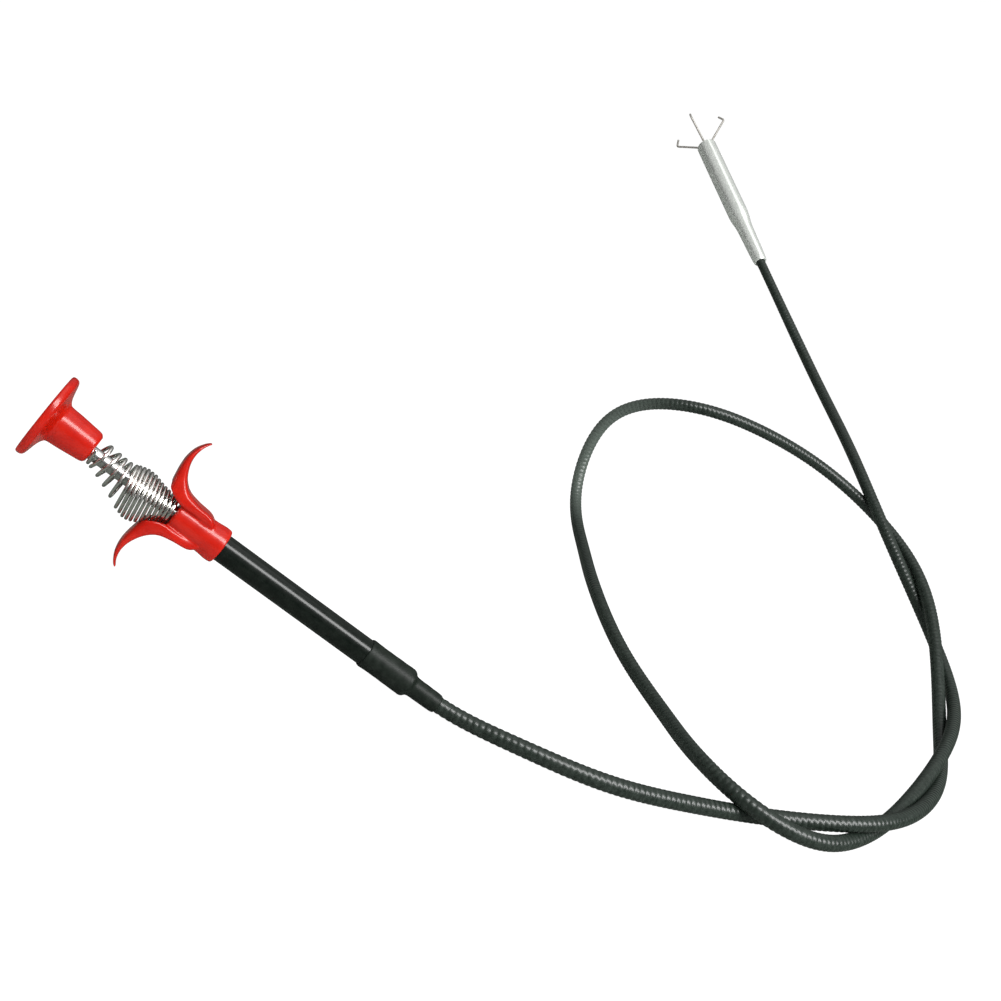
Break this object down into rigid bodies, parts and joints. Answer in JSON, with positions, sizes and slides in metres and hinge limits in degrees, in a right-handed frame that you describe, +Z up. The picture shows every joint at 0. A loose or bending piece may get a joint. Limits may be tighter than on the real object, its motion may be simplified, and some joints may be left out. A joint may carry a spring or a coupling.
{
  "type": "drain auger",
  "caption": "Flexible drain auger: thumb plunger handle with finger grip, long coiled cable, and a metal sleeve whose spring-wire claws open and close.",
  "frame": {"origin": "on the ground, under the middle of the tool's bounding box", "axes": "+Y along the longest extent, from the handle side to the claw side; +Z up; +X towards the cable loops"},
  "size_m": [0.3274, 0.5471, 0.2082],
  "materials": {
    "red_plastic": "glossy moulded red",
    "black_tube": "glossy black",
    "black_shrink": "satin black, slightly uneven",
    "cable_plastic": "satin dark grey-green, ribbed",
    "spring_steel": "bright drawn wire",
    "steel": "plain",
    "brass": "turned",
    "white_plastic": "plain",
    "nickel": "nickel plated, polished"
  },
  "bodies": {
    "root": {"return_spring": "spring_steel", "finger_grip": "red_plastic", "handle_tube": "black_tube", "rod_bush": "white_plastic", "cable_anchor": "brass", "shrink_sleeve": "black_shrink", "cable_jacket": "cable_plastic", "cable_coil": "steel", "drive_wire": "steel", "claw_sleeve": "nickel", "cable_end_ferrule": "brass"},
    "plunger": {"thumb_button": "red_plastic", "push_rod": "steel", "rod_stop": "brass", "wire_crimp": "brass"},
    "claw_carrier": {"claw_ferrule": "steel", "claw_roots": "spring_steel"},
    "claw_1": {"claw_wire_1": "spring_steel"},
    "claw_2": {"claw_wire_2": "spring_steel"},
    "claw_3": {"claw_wire_3": "spring_steel"},
    "claw_4": {"claw_wire_4": "spring_steel"}
  },
  "joints": [
    {"name": "plunger_slide", "type": "slide", "parent": "root", "child": "plunger", "axis": [-0.9482, -0.2189, 0.23], "range_m": [0, 0.011], "stiffness_N_per_m": 180, "springref_m": 0.03, "deforming": ["return_spring"]},
    {"name": "claw_slide", "type": "slide", "parent": "root", "child": "claw_carrier", "axis": [0.5762, -0.7015, -0.4195], "range_m": [0, 0.011]},
    {"name": "claw_1_hinge", "type": "hinge", "parent": "claw_carrier", "child": "claw_1", "pos_m": [-0.03792, 0.25059, 0.1887], "axis": [0.5363, -0.0627, 0.8417], "range_deg": [-37.1, 0]},
    {"name": "claw_2_hinge", "type": "hinge", "parent": "claw_carrier", "child": "claw_2", "pos_m": [-0.03677, 0.25123, 0.1892], "axis": [0.6167, 0.7099, -0.3401], "range_deg": [-37.1, 0]},
    {"name": "claw_3_hinge", "type": "hinge", "parent": "claw_carrier", "child": "claw_3", "pos_m": [-0.03669, 0.25201, 0.18801], "axis": [-0.5363, 0.0627, -0.8417], "range_deg": [-37.1, 0]},
    {"name": "claw_4_hinge", "type": "hinge", "parent": "claw_carrier", "child": "claw_4", "pos_m": [-0.03784, 0.25136, 0.18751], "axis": [-0.6167, -0.7099, 0.3401], "range_deg": [-37.1, 0]}
  ],
  "couplings": [
    {"joint": "claw_slide", "follows": "plunger_slide", "ratio": 1},
    {"joint": "claw_1_hinge", "follows": "plunger_slide", "rad_per_m": -58.706},
    {"joint": "claw_2_hinge", "follows": "plunger_slide", "rad_per_m": -58.706},
    {"joint": "claw_3_hinge", "follows": "plunger_slide", "rad_per_m": -58.706},
    {"joint": "claw_4_hinge", "follows": "plunger_slide", "rad_per_m": -58.706}
  ]
}
